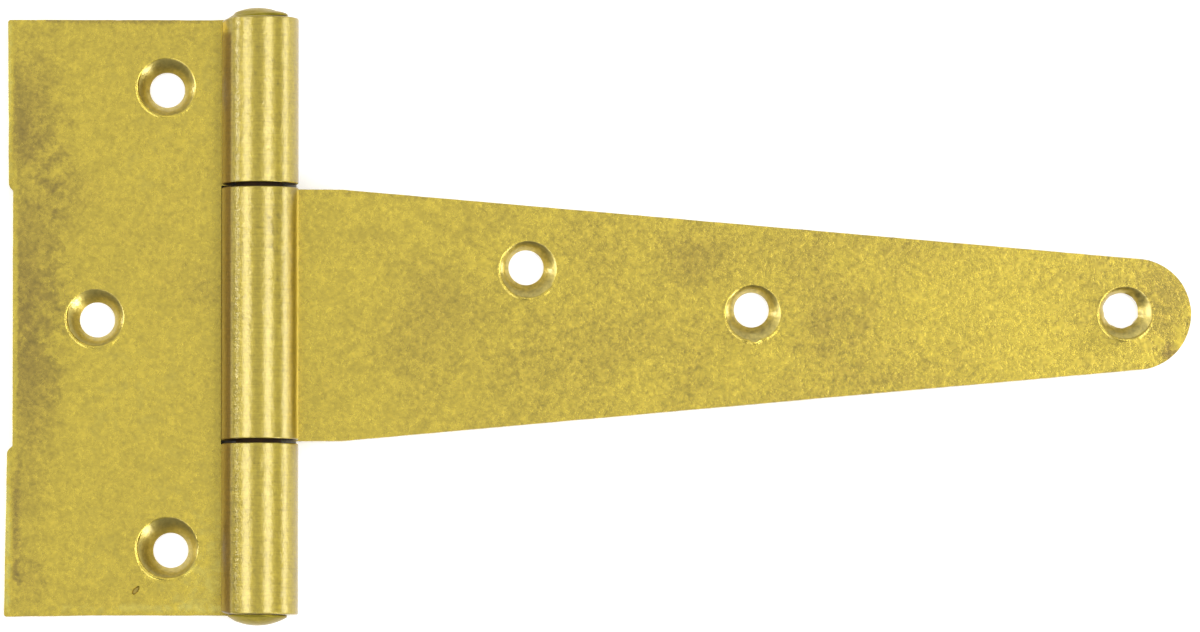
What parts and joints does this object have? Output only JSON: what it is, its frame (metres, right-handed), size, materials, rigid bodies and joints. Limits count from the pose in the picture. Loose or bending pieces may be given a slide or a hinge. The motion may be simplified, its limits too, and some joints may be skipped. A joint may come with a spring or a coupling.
{
  "type": "tee hinge",
  "caption": "Tee hinge: a rectangular flap and a long tapering strap of plated sheet steel, rolled round a riveted pin, with countersunk screw holes.",
  "frame": {"origin": "on the plane of both leaves' backs, straight under the pin's axis, at the flap's mid-height", "axes": "+X along the strap towards its tip, +Y along the pin, +Z from the backs towards the countersunk front faces"},
  "size_m": [0.1997, 0.1038, 0.0129],
  "materials": {
    "plated_steel": "yellow passivated zinc plating, satin",
    "pin_steel": "yellow passivated zinc plating, peened heads"
  },
  "bodies": {
    "flap": {"flap": "plated_steel", "pin": "pin_steel"},
    "strap": {"strap": "plated_steel"}
  },
  "joints": [
    {"name": "strap_swing", "type": "hinge", "parent": "flap", "child": "strap", "pos_m": [0, 0, 0.00645], "axis": [0, -1, 0], "range_deg": [-90, 189]}
  ]
}
